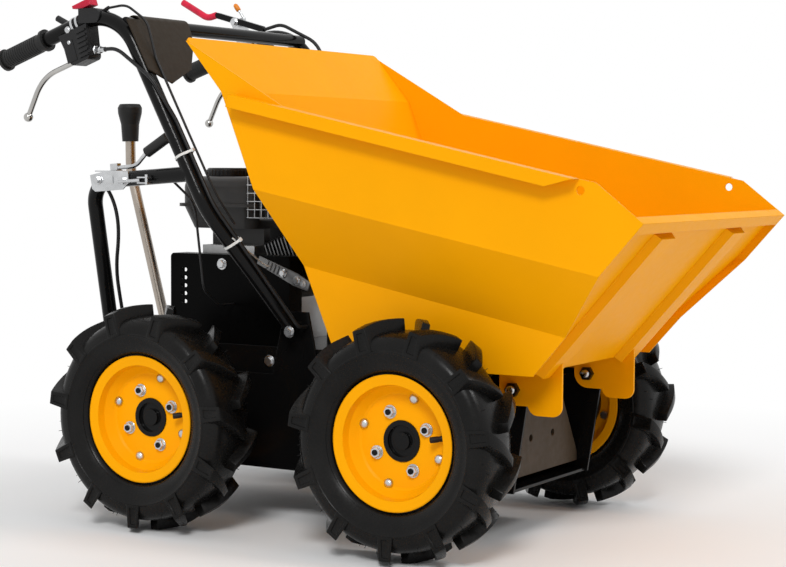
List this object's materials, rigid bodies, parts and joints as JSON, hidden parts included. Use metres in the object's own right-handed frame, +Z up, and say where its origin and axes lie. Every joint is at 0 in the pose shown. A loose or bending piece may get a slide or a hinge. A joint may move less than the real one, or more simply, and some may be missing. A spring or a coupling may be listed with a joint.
{
  "type": "motorized wheelbarrow",
  "caption": "Walk-behind petrol mini dumper with tipping folded-sheet bin, ribbed farm tyres, open engine behind the bin and a tube handlebar with hand levers.",
  "frame": {"origin": "on the floor under the middle of the overall length and width", "axes": "+X forward over the tipping lip, +Y to the machine's left, +Z up"},
  "size_m": [1.338, 0.756, 1.0094],
  "materials": {
    "yellow_paint": "gloss powder coat",
    "black_paint": "satin powder coat",
    "tyre_rubber": "matt",
    "cast_alloy": "as cast",
    "polished_steel": "polished",
    "zinc_steel": "zinc plated",
    "black_plastic": "moulded",
    "red_plastic": "moulded"
  },
  "bodies": {
    "chassis": {"air_filter": "black_plastic", "axle_tubes": "black_paint", "belly_plate": "black_paint", "belt_cover": "black_paint", "bin_rest": "black_paint", "console_panel": "black_paint", "control_cables": "black_plastic", "crankcase": "cast_alloy", "cylinder": "cast_alloy", "drive_arm": "black_paint", "drive_bracket": "zinc_steel", "drive_lever": "red_plastic", "engine_deck": "black_paint", "front_plate": "black_paint", "fuel_cap": "black_plastic", "fuel_tank": "black_paint", "gear_knob": "black_plastic", "gear_rod": "zinc_steel", "grips": "black_plastic", "handle_frame": "black_paint", "head_cover": "black_paint", "lever_boxes": "black_plastic", "pivot_pins": "black_paint", "rear_plate": "black_paint", "recoil_starter": "black_plastic", "release_grip": "black_plastic", "release_lever": "zinc_steel", "side_plates": "black_paint", "silencer": "black_paint", "silencer_guard": "zinc_steel", "steering_levers": "polished_steel", "stop_button": "red_plastic", "stop_switch": "black_plastic", "throttle_lever": "black_plastic", "transmission": "black_paint"},
    "bin": {"bin_ears": "yellow_paint", "bin_ribs": "yellow_paint", "bin_sheet": "yellow_paint", "bin_side_left": "yellow_paint", "bin_side_right": "yellow_paint"},
    "wheel_front_right": {"hub_front_right": "black_paint", "rim_front_right": "yellow_paint", "tyre_front_right": "tyre_rubber"},
    "wheel_front_left": {"hub_front_left": "black_paint", "rim_front_left": "yellow_paint", "tyre_front_left": "tyre_rubber"},
    "wheel_rear_right": {"hub_rear_right": "black_paint", "rim_rear_right": "yellow_paint", "tyre_rear_right": "tyre_rubber"},
    "wheel_rear_left": {"hub_rear_left": "black_paint", "rim_rear_left": "yellow_paint", "tyre_rear_left": "tyre_rubber"}
  },
  "joints": [
    {"name": "bin_tip", "type": "hinge", "parent": "chassis", "child": "bin", "pos_m": [0.365, 0, 0.281], "axis": [0, 1, 0], "range_deg": [0, 75]},
    {"name": "front_right_spin", "type": "hinge", "parent": "chassis", "child": "wheel_front_right", "pos_m": [0.245, -0.322, 0.204], "axis": [0, 1, 0], "continuous": true},
    {"name": "front_left_spin", "type": "hinge", "parent": "chassis", "child": "wheel_front_left", "pos_m": [0.245, 0.322, 0.204], "axis": [0, 1, 0], "continuous": true},
    {"name": "rear_right_spin", "type": "hinge", "parent": "chassis", "child": "wheel_rear_right", "pos_m": [-0.281, -0.322, 0.204], "axis": [0, 1, 0], "continuous": true},
    {"name": "rear_left_spin", "type": "hinge", "parent": "chassis", "child": "wheel_rear_left", "pos_m": [-0.281, 0.322, 0.204], "axis": [0, 1, 0], "continuous": true}
  ]
}
